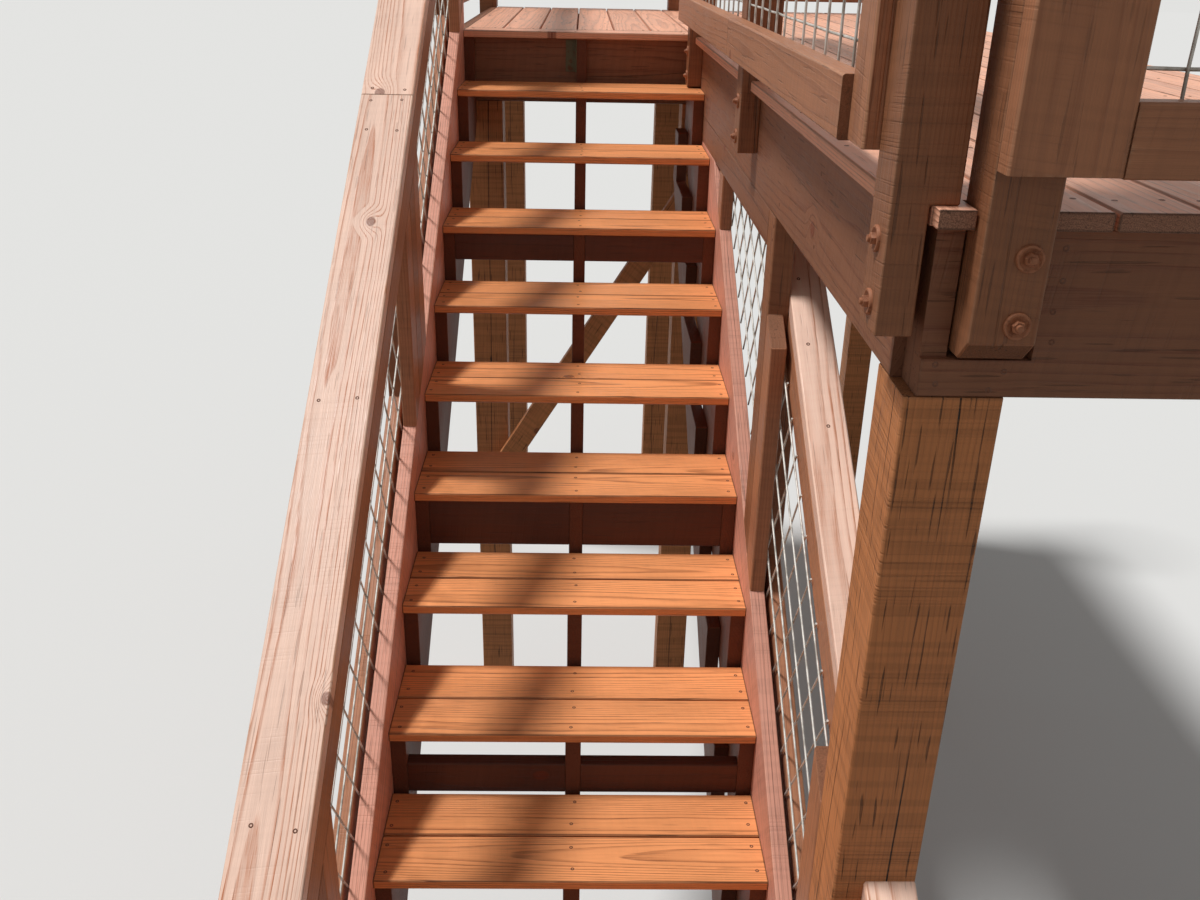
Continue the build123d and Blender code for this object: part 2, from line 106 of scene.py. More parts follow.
# The deck and the guard: faces of the rims, and of the guard's posts where wire and bolts sit
DECK_LEFT = 0.418
DECK_FIRST_JOIST = -2.9638
RIM_FRONT = -3.0400
RIM_RIGHT = 1.7153
RIM_BACK = 1.7900
GUARD_SIDE = 0.3962
GUARD_FRONT = -3.0908
GUARD_BACK = 1.8408
GUARD_TOP = LANDING_TOP + 0.965
GUARD_RAIL_LOW = LANDING_TOP + 0.052

# Lines along which screws go into the guard's caps
CAP_SIDE = 0.3521 + WIDTH_6 / 2.0
CAP_FRONT = -3.1349 + WIDTH_6 / 2.0
CAP_LEFT = -0.5112
CAP_BACK = 1.8150

# How far a mesh panel laps what holds it, and stands clear of the post beside it
LAP = 0.025
CLEAR = 0.004

# How far screws are set off their lines
STRAY = 0.005
TREAD_STRAY = 0.006

# Direction to the key light, and the floor's reach
TO_KEY = Vector((-0.47, 0.06, 1.0))
FLOOR_RADIUS = 90.0

# Turned heads from the wood outwards: share of the radius, and height above the wood
SCREW = ((1.0, -0.0010), (1.0, 0.0001), (0.9, 0.0004), (0.45, 0.0003), (0.36, -0.0008),
         (0.0, -0.0009))
WASHER = ((1.0, -0.0010), (1.0, 0.0030), (0.95, 0.0042), (0.82, 0.0044), (0.62, 0.0018),
          (0.0, 0.0016))
NUT = ((1.0, 0.0010), (1.0, 0.0084), (0.88, 0.0096), (0.0, 0.0096))
BOLT_END = ((0.55, 0.0090), (0.55, 0.0130), (0.45, 0.0138), (0.0, 0.0138))


def srgb(red, green, blue):
    """Colour as it is seen on a screen, from 0 to 255, as the linear values that shaders take."""
    seen = [channel / 255.0 for channel in (red, green, blue)]
    return tuple(c / 12.92 if c <= 0.04045 else ((c + 0.055) / 1.055) ** 2.4 for c in seen)


def spot(x, y, z):
    """Place in the layout as a place in the frame."""
    return Vector((CENTRE_X + x, EDGE_Y + y, z))


def nose_line(y):
    """Height of the line through the front edges of the treads, over a place along the flight."""
    return LANDING_TOP + SLOPE * y


# Settings
def colour(name, description, value):
    return FloatVectorProperty(name=name, description=description, default=value, subtype="COLOR",
                               size=3, min=0.0, max=1.0)


def length(name, description, value):
    return FloatProperty(name=name, description=description, default=value, unit="LENGTH",
                         subtype="DISTANCE", min=0.0, precision=4)


def strength(name, description, value):
    return FloatProperty(name=name, description=description, default=value, min=0.0)


def angle(name, description, degrees):
    return FloatProperty(name=name, description=description, default=math.radians(degrees),
                         subtype="ANGLE", unit="ROTATION")


class StairStains(bpy.types.PropertyGroup):
    tread: colour("Treads", "Stain of the treads, freshly coated", srgb(238, 158, 102))
    cap: colour("Rail caps", "Stain of the caps, worn paler by weather", srgb(243, 205, 184))
    rail: colour("Rails", "Stain of the rails and the stiles", srgb(174, 118, 86))
    post: colour("Posts", "Stain of the rail and guard posts", srgb(146, 96, 66))
    stringer: colour("Stringers", "Stain of the stringers", srgb(124, 74, 54))
    # Darker than the stringers' stain as painted shade, for blocks that stand in shade behind the
    # treads
    block: colour("Stringer blocks", "Stain of the blocks behind the treads", srgb(84, 48, 36))
    skirt: colour("Skirt boards", "Stain of the boards outside the stringers", srgb(214, 152, 130))
    deck: colour("Deck boards", "Stain of the landing's and the deck's boards", srgb(232, 172, 142))
    under: colour("Posts below", "Stain of the sawn posts under the deck", srgb(192, 126, 80))
    framing: colour("Rims and joists", "Stain of the rims and joists", srgb(132, 88, 64))
    latewood: colour("Grain lines", "Dark lines of the grain under the stain", srgb(92, 38, 18))
    cap_lines: colour("Cap grain", "Lines of the grain on the worn caps", srgb(194, 118, 78))
    bare: colour("Worn wood", "Wood where the stain has worn through", srgb(232, 186, 150))
    knot: colour("Knots", "Heart of a knot", srgb(112, 48, 28))


class StairMetals(bpy.types.PropertyGroup):
    wire: colour("Wire", "Galvanised wire of the mesh", srgb(218, 214, 206))
    wire_dull: colour("Dull wire", "Wire where the zinc has dulled", srgb(168, 162, 152))
    angle: colour("Steel angle", "Weathered paint of the steel angle", srgb(92, 86, 62))
    stained: colour("Stained metal", "Bolts and washers under the stain", srgb(164, 104, 70))
    screw: colour("Screws", "Heads of the screws, dark in their holes", srgb(104, 66, 46))
    rust: colour("Rust", "Rust that shows through", srgb(112, 58, 34))


class StairSizes(bpy.types.PropertyGroup):
    arris: length("Arris", "Rounding of an edge that was eased already", 0.0012)
    sawn_arris: length("Sawn arris", "Rounding of an edge that was left as sawn", 0.0030)
    wire: length("Wire", "Diameter of the mesh's wire", 0.0048)
    pitch: length("Mesh pitch", "Distance between neighbouring wires", 0.1016)
    wobble: length("Wire wobble", "How far a wire strays from its line", 0.0011)
    screw: length("Screw head", "Diameter of a screw's head", 0.0090)
    washer: length("Washer", "Diameter of a bolt's washer", 0.0360)
    nut: length("Nut", "Width of a bolt's nut over its corners", 0.0176)
    sides: IntProperty(name="Wire sides", description="Sides of a wire's round section",
                       default=8, min=4)


class StairStage(bpy.types.PropertyGroup):
    floor: colour("Floor", "Colour of the studio floor", srgb(226, 226, 224))
    bounce: colour("Bounce", "Colour of the light that the floor throws back", srgb(128, 126, 120))
    key: strength("Key light", "Strength of the soft light from the upper left", 2.70)
    softness: angle("Softness", "How wide the key light looks from the stairs", 9.0)
    sky: strength("Surrounding light", "Strength of the even light from all round", 0.24)
    lens: FloatProperty(name="Lens", description="Focal length of the camera in millimetres",
                        default=33.05, min=1.0, unit="CAMERA")
    pitch: angle("Pitch", "How far the camera looks down", 24.482)
    yaw: angle("Yaw", "How far the camera is turned to the right", 1.243)
    roll: angle("Roll", "How far the camera is turned about its own axis", -1.178)
    eye: FloatVectorProperty(name="Eye", description="Place of the camera", size=3, unit="LENGTH",
                             subtype="TRANSLATION", default=(-0.5600, -3.0537, 3.3664))


class StairSettings(bpy.types.PropertyGroup):
    stains: PointerProperty(name="Stains", description="Colours of the timber", type=StairStains)
    metals: PointerProperty(name="Metals", description="Colours of the metal pieces",
                            type=StairMetals)
    sizes: PointerProperty(name="Sizes", description="Sizes of edges, wires and fasteners",
                           type=StairSizes)
    stage: PointerProperty(name="Stage", description="Floor, light and camera", type=StairStage)


# Shader maths
class Value:
    """A socket of a shader, with Python's operators for the Math nodes that it feeds."""

    def __init__(self, finish, socket):
        self.finish = finish
        self.socket = socket

    def math(self, operation, *others, clamp=False):
        return self.finish.value(operation, self, *others, clamp=clamp)

    def __add__(self, other):
        return self.math("ADD", other)

    __radd__ = __add__

    def __sub__(self, other):
        return self.math("SUBTRACT", other)

    def __rsub__(self, other):
        return self.finish.value("SUBTRACT", other, self)

    def __mul__(self, other):
        return self.math("MULTIPLY", other)

    __rmul__ = __mul__

    def __truediv__(self, other):
        return self.math("DIVIDE", other)

    def __rtruediv__(self, other):
        return self.finish.value("DIVIDE", other, self)

    def __pow__(self, other):
        return self.math("POWER", other)

    def __rpow__(self, other):
        return self.finish.value("POWER", other, self)

    def __abs__(self):
        return self.math("ABSOLUTE")

    def __gt__(self, other):
        return self.math("GREATER_THAN", other)

    def __lt__(self, other):
        return self.math("LESS_THAN", other)

    def least(self, other):
        return self.math("MINIMUM", other)

    def most(self, other):
        return self.math("MAXIMUM", other)

    def part(self):
        return self.math("FRACT")

    def root(self):
        return self.math("SQRT")

    def clamped(self):
        return self.math("ADD", 0.0, clamp=True)

    def rises(self, low, high):
        """0 below one value, 1 above the other, with a smooth slope between them."""
        inputs = {"Value": self, "From Min": low, "From Max": high}
        settings = {"interpolation_type": "SMOOTHSTEP"}
        return self.finish.node("ShaderNodeMapRange", settings, inputs)[0]


class Finish:
    """A material, and the one method that adds a node to it."""

    def __init__(self, name, owner=None):
        self.material = owner or bpy.data.materials.new(FINISH + name)
        self.material.use_nodes = True
        self.tree = self.material.node_tree
        self.tree.nodes.clear()

    def node(self, kind, settings, inputs):
        """Adds a node, then its settings, then its inputs' values or links. Returns its outputs."""
        made = self.tree.nodes.new(kind)
        for name, setting in settings.items():
            setattr(made, name, setting)
        for name, given in inputs.items():
            socket = made.inputs[name]
            if isinstance(given, Value):
                self.tree.links.new(given.socket, socket)
            elif socket.type == "RGBA":
                socket.default_value = (*given, 1.0)
            else:
                socket.default_value = given
        return [Value(self, socket) for socket in made.outputs if socket.enabled]

    def value(self, operation, *inputs, clamp=False):
        settings = {"operation": operation, "use_clamp": clamp}
        return self.node("ShaderNodeMath", settings, dict(enumerate(inputs)))[0]

    def attribute(self, name):
        return self.node("ShaderNodeAttribute", {"attribute_name": name}, {})

    def split(self, vector):
        return self.node("ShaderNodeSeparateXYZ", {}, {0: vector})

    def joined(self, x, y, z):
        return self.node("ShaderNodeCombineXYZ", {}, {0: x, 1: y, 2: z})[0]

    def scaled(self, vector, factor):
        """Colour or place times a number."""
        inputs = {0: vector, "Scale": factor}
        return self.node("ShaderNodeVectorMath", {"operation": "SCALE"}, inputs)[0]

    def noise(self, vector, detail=2.0, rough=0.5):
        inputs = {"Vector": vector, "Scale": 1.0, "Detail": detail, "Roughness": rough}
        return self.node("ShaderNodeTexNoise", {}, inputs)[0]

    def mixed(self, first, second, share):
        """Colour between two colours."""
        settings = {"data_type": "RGBA", "blend_type": "MIX"}
        return self.node("ShaderNodeMix", settings, {"Factor": share, 6: first, 7: second})[0]

    def seen(self):
        """1 for rays that show the backdrop, also in metal or through glass, and 0 for light."""
        ray = self.node("ShaderNodeLightPath", {}, {})
        named = {value.socket.name: value for value in ray}
        rays = named["Is Camera Ray"] + named["Is Glossy Ray"] + named["Is Transmission Ray"]
        return rays.least(1.0)

    def surface(self, inputs, height, distance):
        """Ends the material in a shader with a bump."""
        raised = {"Strength": 1.0, "Distance": distance, "Height": height}
        bump = self.node("ShaderNodeBump", {}, raised)[0]
        shader = self.node("ShaderNodeBsdfPrincipled", {}, {**inputs, "Normal": bump})[0]
        self.node("ShaderNodeOutputMaterial", {}, {"Surface": shader})
        return self.material


# How each finish of the timber differs. Rings are the width of a year's growth, and heart is how
# far the board was cut from the middle of the tree, in metres. Rough is the roughness, end is the
# end grain's brightness beside the stain, and the other numbers are strengths. The deck boards'
# low end is partly their end grain's own colour and partly painted shade on their front ends.
GRAIN = {
    "tread_boards": dict(
        stain="tread", ink="latewood", rings=0.0038, heart=0.07, lines=0.55, furrow=1.00,
        worn=0.06, saw=0.10, knots=0.25, checks=0.15, rough=0.46, edge=0.75, end=0.50),
    "rail_caps": dict(
        stain="cap", ink="cap_lines", rings=0.0044, heart=0.08, lines=0.72, furrow=0.45,
        worn=0.60, saw=0.15, knots=0.80, checks=0.10, rough=0.42, edge=0.00, end=0.60),
    "rails": dict(
        stain="rail", ink="latewood", rings=0.0075, heart=0.07, lines=0.26, furrow=0.40,
        worn=0.30, saw=0.40, knots=0.50, checks=0.20, rough=0.50, edge=0.10, end=0.55),
    "rail_posts": dict(
        stain="post", ink="latewood", rings=0.0060, heart=0.05, lines=0.20, furrow=0.30,
        worn=0.18, saw=0.60, knots=0.55, checks=0.50, rough=0.50, edge=0.10, end=0.50),
    "stringers": dict(
        stain="stringer", ink="latewood", rings=0.0080, heart=0.11, lines=0.28, furrow=0.40,
        worn=0.10, saw=0.30, knots=0.45, checks=0.15, rough=0.58, edge=0.20, end=0.60),
    # The blocks take the darker colour above, painted shade behind the treads
    "stringer_blocks": dict(
        stain="block", ink="latewood", rings=0.0080, heart=0.11, lines=0.28, furrow=0.40,
        worn=0.05, saw=0.30, knots=0.45, checks=0.15, rough=0.60, edge=0.20, end=0.60),
    "skirts": dict(
        stain="skirt", ink="latewood", rings=0.0070, heart=0.11, lines=0.36, furrow=0.45,
        worn=0.30, saw=0.40, knots=0.45, checks=0.15, rough=0.54, edge=0.00, end=0.60),
    # Dark end grain here: partly the wood's own end grain, partly painted shade on the boards'
    # front ends
    "deck_boards": dict(
        stain="deck", ink="latewood", rings=0.0065, heart=0.10, lines=0.34, furrow=0.70,
        worn=0.35, saw=0.15, knots=0.55, checks=0.20, rough=0.50, edge=0.55, end=0.32),
    "under_posts": dict(
        stain="under", ink="latewood", rings=0.0070, heart=0.02, lines=0.20, furrow=0.40,
        worn=0.12, saw=1.00, knots=0.75, checks=1.00, rough=0.58, edge=0.10, end=0.50),
    "framing": dict(
        stain="framing", ink="latewood", rings=0.0080, heart=0.10, lines=0.48, furrow=0.50,
        worn=0.10, saw=0.40, knots=0.60, checks=0.45, rough=0.55, edge=0.20, end=1.15),
}


def timber_finish(name, stains):
    """Stained softwood, whose grain follows each board's own length, width and thickness."""
    look = GRAIN[name]
    finish = Finish(name)
    stain, ink = tuple(getattr(stains, look["stain"])), tuple(getattr(stains, look["ink"]))
    a, b, c = finish.split(finish.attribute("timber")[1])
    first, second, third = finish.split(finish.attribute("board")[1])
    reach_a, reach_b, reach_c = finish.split(finish.attribute("span")[1])
    cut = finish.attribute("cut")[2]
    along = a + first * 37.0

    def drawn_out(rate_along, rate_across, detail=1.0, rough=0.5):
        """Noise that is stretched along the grain, from its rates to the metre."""
        place = finish.joined(along * rate_along, b * rate_across, c * rate_across)
        return finish.noise(place, detail, rough)

    # Slow drift of the heart on the way along the board
    wander = finish.noise(finish.joined(along * 0.9, first * 19.0, 0.0), 0.0) - 0.5
    sway = finish.noise(finish.joined(along * 0.6, second * 23.0, 7.0), 0.0) - 0.5

    # Knots pass through the board, and the rings swell round them
    cell_place = finish.joined(along * 1.9, (b + second * 11.0) * 2.6, 0.0)
    cell = finish.node("ShaderNodeTexVoronoi", {"voronoi_dimensions": "2D"},
                       {"Vector": cell_place, "Scale": 1.0, "Randomness": 0.9})
    chosen = finish.split(cell[1])
    present = chosen[0] > 1.0 - 0.7 * look["knots"]
    from_knot = cell[0] / 2.2
    girth = chosen[1] * 0.012 + 0.006
    knot = (1.0 - from_knot.rises(girth * 0.8, girth * 1.15)) * present
    swell = (1.0 - (from_knot / (girth * 4.5)).clamped()) ** 2.0 * present * 0.022

    # Rings, each with a late part that darkens slowly and then breaks off
    over = b - (second - 0.5) * 0.12 + wander * 0.05
    under = c + (third * 0.10 + look["heart"]) + sway * 0.035
    radius = (over * over + under * under).root() + swell
    coarse = drawn_out(3.0, 30.0) - 0.5
    turn = (radius / look["rings"] + coarse * 0.9).part()
    late = turn.rises(0.50, 0.88) * (1.0 - turn.rises(0.91, 0.98))
    fibre = drawn_out(14.0, 620.0, rough=0.6)
    streak = drawn_out(1.7, 95.0, 2.0, 0.6)
    blotch = drawn_out(3.2, 9.0, 2.0, 0.6)

    # Strokes and bands of the saw across the grain
    strokes = finish.noise(finish.joined(along * 230.0 + b * 24.0, b * 3.0, c * 3.0), 1.0)
    patch = finish.noise(finish.joined(along * 5.0, b * 12.0, 3.0), 0.0).rises(0.42, 0.62)
    sawn = strokes.rises(0.50, 0.72) * patch * look["saw"]
    banded = finish.joined(along * 62.0 + b * 9.0, b * 2.5, c * 2.5)
    bands = finish.noise(banded, 0.0).rises(0.44, 0.62)

    # Checks along the middle of a face, where the wood has dried, and small dents
    ragged = fibre * 0.0016
    split_b = abs(b - wander * reach_b * 1.5 + ragged)
    split_c = abs(c - sway * reach_c * 1.5 + ragged)
    opened = finish.noise(finish.joined(along * 0.8, third * 31.0, 5.0), 0.0)
    gate = opened.rises(0.62 - 0.16 * look["checks"], 0.66 - 0.14 * look["checks"])
    gap = 1.0 - split_b.least(split_c).rises(0.0004, 0.0017)
    check = gap * gate * (1.0 - cut) * look["checks"]
    nicks = drawn_out(8.0, 170.0).rises(0.65, 0.72) * (0.25 + 0.75 * look["checks"])

    # Distance to the nearest arris: of the three distances to a face, the one in the middle
    to_a = reach_a - abs(a)
    to_b = reach_b - abs(b)
    to_c = reach_c - abs(c)
    arris = to_a.least(to_b).most(to_a.most(to_b).least(to_c))
    # Darker along every arris: partly stain that gathers there, partly painted shade of the gaps
    # between boards
    edge = 1.0 - arris.rises(0.0010, 0.0042)
    rubbed = (1.0 - arris.rises(0.0005, 0.0050)) * streak.rises(0.40, 0.62)
    worn = (rubbed * 0.8 + blotch.rises(0.55, 0.80) * fibre.rises(0.45, 0.75) * 0.7) * look["worn"]

    # Colour: the stain, then the grain, the wear, the knots, the end grain, the dark marks and the
    # darkening along the arrises, which is partly stain gathered there and partly painted shade of
    # the gaps between boards
    tone = blotch * 0.36 + streak * 0.34 + fibre * 0.30 + third * 0.20 + 0.50
    broken = 0.20 + 0.60 * streak.rises(0.38, 0.66) + 0.60 * fibre.rises(0.44, 0.60)
    inked = late * look["lines"] * broken
    knotted = knot * (0.35 + 0.6 * (from_knot * 420.0).part())
    end = tuple(part * look["end"] for part in stain)
    marks = check * 0.85 + nicks * 0.60 + sawn * 0.20 + bands * (0.16 * look["saw"])
    dark = marks + edge * look["edge"]
    shade = finish.mixed(finish.scaled(stain, tone), ink, inked.clamped())
    shade = finish.mixed(shade, tuple(stains.bare), worn.clamped())
    shade = finish.mixed(shade, tuple(stains.knot), knotted.clamped())
    shade = finish.mixed(shade, end, cut * (0.65 + 0.35 * fibre.rises(0.40, 0.60)))
    shade = finish.scaled(shade, 1.0 - dark.clamped())

    grained = late * (0.55 * look["furrow"]) + fibre * 0.35
    height = grained - sawn * 0.8 - check * 4.0 - nicks + knot * 0.5
    uneven = (fibre - 0.5) * 0.25 + (blotch - 0.5) * 0.25
    rough = (look["rough"] + uneven + cut * 0.2 + late * -0.06).clamped()
    inputs = {"Base Color": shade, "Roughness": rough, "Specular IOR Level": 0.28}
    return finish.surface(inputs, height, 0.0012)


def wire_finish(metals):
    """Galvanised wire, dulled in patches."""
    finish = Finish("galvanised_wire")
    place = finish.node("ShaderNodeTexCoord", {}, {})[3]
    patches = finish.noise(finish.scaled(place, 26.0), 3.0, 0.6)
    fine = finish.noise(finish.scaled(place, 900.0))
    shade = finish.mixed(tuple(metals.wire), tuple(metals.wire_dull), patches.rises(0.42, 0.66))
    shade = finish.mixed(shade, tuple(metals.rust), patches.rises(0.70, 0.80) * 0.6)
    rough = 0.38 + patches * 0.30
    return finish.surface({"Base Color": shade, "Roughness": rough, "Metallic": 0.30}, fine, 0.0002)


def coated_finish(name, coat, rust, scale, metallic, share):
    """Metal under paint or stain, with rust where the coat has gone."""
    finish = Finish(name)
    place = finish.node("ShaderNodeTexCoord", {}, {})[3]
    wide = finish.noise(finish.scaled(place, scale), 4.0, 0.6)
    fine = finish.noise(finish.scaled(place, scale * 14.0))
    gone = (wide + (fine - 0.5) * 0.3).rises(0.50, 0.66) * share
    shade = finish.mixed(finish.scaled(coat, fine * 0.4 + 0.8), rust, gone)
    rough = (0.45 + wide * 0.3 + gone * 0.2).clamped()
    inputs = {"Base Color": shade, "Roughness": rough, "Metallic": metallic}
    return finish.surface(inputs, fine + gone, 0.0004)


def finish_named(name):
    """Material of that name, made the first time that it is asked for."""
    found = bpy.data.materials.get(FINISH + name)
    if found:
        return found
    settings = bpy.context.scene.deck_stairs
    metals = settings.metals
    rust = tuple(metals.rust)
    if name in GRAIN:
        return timber_finish(name, settings.stains)
    if name == "galvanised_wire":
        return wire_finish(metals)
    if name == "steel_angle":
        return coated_finish(name, tuple(metals.angle), rust, scale=40.0, metallic=0.3, share=0.7)
    if name == "screws":
        return coated_finish(name, tuple(metals.screw), rust, scale=160.0, metallic=0.2, share=0.4)
    return coated_finish(name, tuple(metals.stained), rust, scale=120.0, metallic=0.0, share=0.5)


def ride_root(piece, slot, *replaced):
    """Ties a piece to the stairs' one body and hides the nodes that it replaces. The slot is not
    used.
    """
    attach(piece, "root")
    if replaced:
        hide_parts(*replaced)


def made_object(name, shape, finish, sharp=None):
    """Object from a shape, smooth but for edges past the sharp angle, given in degrees."""
    mesh = bpy.data.meshes.new(name)
    shape.to_mesh(mesh)
    shape.free()
    piece = bpy.data.objects.new(name, mesh)
    bpy.context.scene.collection.objects.link(piece)
    mesh.materials.append(finish)
    for face in mesh.polygons:
        face.use_smooth = True
    if sharp:
        mesh.set_sharp_from_angle(angle=math.radians(sharp))
    return piece


# Timber: each board keeps its CAD form, with rounded arrises, and carries its own measures
def islands(shape):
    """Groups of vertices that edges join, one for each board."""
    left = set(shape.verts)
    groups = []
    for start in shape.verts:
        if start not in left:
            continue
        left.discard(start)
        group, reached = [start], [start]
        while reached:
            for edge in reached.pop().link_edges:
                for vert in edge.verts:
                    if vert in left:
                        left.discard(vert)
                        group.append(vert)
                        reached.append(vert)
        groups.append(group)
    return groups


def joined_to(group, kind):
    """Edges or faces of a board in the mesh's own order, so that ties fall the same in each run."""
    return list(dict.fromkeys(item for vert in group for item in getattr(vert, kind)))


def board_axes(group):
    """Directions along, across and through a board, from its longest edge and its broadest face."""
    edges = joined_to(group, "link_edges")
    longest = max(edges, key=lambda edge: round(edge.calc_length(), 4))
    along = (longest.verts[1].co - longest.verts[0].co).normalized()
    along *= 1.0 if along.dot(Vector((1.0, 1.1, 1.2))) > 0.0 else -1.0
    faces = joined_to(group, "link_faces")
    level = [face for face in faces if abs(face.normal.dot(along)) < 0.1]
    upward = Vector((0.3, 0.2, 1.0)) * 1e-3
    broadest = max(level, key=lambda face: round(face.calc_area(), 5) + face.normal.dot(upward))
    through = (broadest.normal - along * broadest.normal.dot(along)).normalized()
    return along, through.cross(along).normalized(), through


def eased(node, arris):
    """Shape of a node's boards, whose corners are rounded."""
    shape = bmesh.new()
    shape.from_mesh(frame["nodes"][node].data)
    bmesh.ops.remove_doubles(shape, verts=shape.verts, dist=WELD)
    bmesh.ops.dissolve_limit(shape, angle_limit=FLAT, verts=shape.verts, edges=shape.edges)
    corners = [edge for edge in shape.edges if edge.is_manifold and edge.calc_face_angle() > SHARP]
    bmesh.ops.bevel(shape, geom=corners, offset=arris, offset_type="OFFSET", segments=2,
                    profile=0.5, affect="EDGES", clamp_overlap=True)
    shape.normal_update()
    return shape


def measure_boards(shape, node):
    """Writes each board's axes, seeds and half sizes to its vertices, and marks its end faces."""
    timber = shape.verts.layers.float_vector.new("timber")
    board = shape.verts.layers.float_vector.new("board")
    span = shape.verts.layers.float_vector.new("span")
    cut = shape.faces.layers.float.new("cut")
    for number, group in enumerate(islands(shape)):
        draw = random.Random(f"{SEED} {node} {number}")
        seeds = Vector((draw.random(), draw.random(), draw.random()))
        axes = board_axes(group)
        local = [Vector([vert.co.dot(axis) for axis in axes]) for vert in group]
        low = Vector(min(place[i] for place in local) for i in range(3))
        high = Vector(max(place[i] for place in local) for i in range(3))
        for vert, place in zip(group, local):
            vert[timber] = place - (low + high) / 2.0
            vert[board] = seeds
            vert[span] = (high - low) / 2.0
        for face in joined_to(group, "link_faces"):
            face[cut] = 1.0 if abs(face.normal.dot(axes[0])) > 0.7 else 0.0


def dress(names, sawn=False):
    """Stands boards with rounded arrises and their own grain in the place of each node."""
    sizes = bpy.context.scene.deck_stairs.sizes
    for node in names:
        shape = eased(node, sizes.sawn_arris if sawn else sizes.arris)
        measure_boards(shape, node)
        finish = finish_named(node if node in GRAIN else SLOTS[node])
        piece = made_object(f"{node}_timber", shape, finish)
        piece.modifiers.new("Flat faces", "WEIGHTED_NORMAL")
        ride_root(piece, SLOTS[node], node)


# Wire mesh: round wires where the CAD has square ones
def line_inside(outline, point, heading):
    """Span of a straight line inside a convex outline that runs counter-clockwise."""
    low, high = -math.inf, math.inf
    for start, end in zip(outline, outline[1:] + outline[:1]):
        edge = (end[0] - start[0], end[1] - start[1])
        side = edge[0] * (point[1] - start[1]) - edge[1] * (point[0] - start[0])
        turn = edge[0] * heading[1] - edge[1] * heading[0]
        if abs(turn) < 1e-9 and side < 0:
            return 0.0, 0.0
        if turn > 1e-9:
            low = max(low, -side / turn)
        if turn < -1e-9:
            high = min(high, -side / turn)
    return low, high


def tube(shape, points, across, through, radius, sides):
    """Round wire through points, with flat ends."""
    rings = []
    for point in points:
        ring = []
        for i in range(sides):
            turn = math.tau * i / sides
            outward = math.cos(turn) * across + math.sin(turn) * through
            ring.append(shape.verts.new(point + radius * outward))
        rings.append(ring)
    for lower, upper in zip(rings, rings[1:]):
        for i in range(sides):
            j = (i + 1) % sides
            shape.faces.new((lower[i], lower[j], upper[j], upper[i]))
    shape.faces.new(rings[0][::-1])
    shape.faces.new(rings[-1])


def wire_panel(shape, origin, right, up, outline, degrees, draw):
    """Two crossing rows of wires inside an outline, laid on each other away from their plane."""
    sizes = bpy.context.scene.deck_stairs.sizes
    pitch = sizes.pitch
    normal = right.cross(up)
    for layer in range(2):
        turned = math.radians(degrees) + layer * math.pi / 2.0
        heading = (math.cos(turned), math.sin(turned))
        across = (-heading[1], heading[0])
        side = right * across[0] + up * across[1]
        offsets = [u * across[0] + v * across[1] for u, v in outline]
        for i in range(math.ceil(min(offsets) / pitch), math.floor(max(offsets) / pitch) + 1):
            start = (i * pitch * across[0], i * pitch * across[1])
            low, high = line_inside(outline, start, heading)
            first = math.ceil((low + sizes.wire) / pitch)
            last = math.floor((high - sizes.wire) / pitch)
            if last < first:
                continue
            stray = [draw.uniform(-1.0, 1.0) * sizes.wobble for _ in range(last - first + 3)]
            stations = [low] + [k * pitch for k in range(first, last + 1)] + [high]
            points = []
            for place, off in zip(stations, stray):
                u = start[0] + place * heading[0]
                v = start[1] + place * heading[1]
                lift = normal * (0.5 + layer) * sizes.wire
                points.append(origin + right * u + up * v + lift + side * off)
            tube(shape, points, side, normal, sizes.wire / 2.0, sizes.sides)


def wire_piece(name, panels, *replaced):
    """Panels of mesh as one piece, each given as origin, right, up, outline and angle."""
    shape = bmesh.new()
    draw = random.Random(f"{SEED} {name}")
    for panel in panels:
        wire_panel(shape, *panel, draw)
    bmesh.ops.recalc_face_normals(shape, faces=shape.faces)
    piece = made_object(name, shape, finish_named("galvanised_wire"), sharp=60.0)
    ride_root(piece, "galvanised_wire", *replaced)


def under_rail(y):
    """Height that the flight's mesh reaches over its rail's lower edge."""
    return nose_line(y) + RAIL_UNDER + LAP * STRETCH


def flight_outline(y, high):
    """Outline of a mesh bay of the flight, from a lap on the skirt board up to a height."""
    low = SKIRT_RISE - LAP * STRETCH
    near, far = y[0] + CLEAR, y[1] - CLEAR
    lower = [(near, nose_line(near) + low), (far, nose_line(far) + low)]
    return lower + [(far, high(far)), (near, high(near))]


def guard_outline(u):
    """Outline of a mesh bay of the guard, from a lap on the low rail to a lap on the high one."""
    u = (u[0] + CLEAR, u[1] - CLEAR)
    low = GUARD_RAIL_LOW + WIDTH_4 - LAP
    high = GUARD_TOP - THICK - WIDTH_4 + LAP
    return [(u[0], low), (u[1], low), (u[1], high), (u[0], high)]


# Fasteners
def turned_head(shape, place, normal, profile, radius, count):
    """Adds a head with a round or many-sided section, turned about the normal."""
    side = normal.orthogonal().normalized()
    other = normal.cross(side)
    previous = None
    for share, height in profile:
        if share == 0.0:
            tip = shape.verts.new(place + normal * height)
            for i in range(count):
                shape.faces.new((previous[i], previous[(i + 1) % count], tip))
            continue
        ring = []
        for i in range(count):
            turn = math.tau * i / count
            outward = math.cos(turn) * side + math.sin(turn) * other
            ring.append(shape.verts.new(place + normal * height + radius * share * outward))
        if previous:
            for i in range(count):
                j = (i + 1) % count
                shape.faces.new((previous[i], previous[j], ring[j], ring[i]))
        previous = ring


def screw_heads(name, heads):
    """Countersunk heads a hair above the wood, each with the socket of its driver."""
    radius = bpy.context.scene.deck_stairs.sizes.screw / 2.0
    shape = bmesh.new()
    for place, normal in heads:
        turned_head(shape, place, normal.normalized(), SCREW, radius, 10)
    ride_root(made_object(name, shape, finish_named("screws"), sharp=35.0), None)


def bolt(shape, place, normal):
    """Dished washer, a nut and the bolt's end."""
    sizes = bpy.context.scene.deck_stairs.sizes
    turned_head(shape, place, normal, WASHER, sizes.washer / 2.0, 28)
    turned_head(shape, place, normal, NUT, sizes.nut / 2.0, 6)
    turned_head(shape, place, normal, BOLT_END, sizes.nut / 2.0, 12)


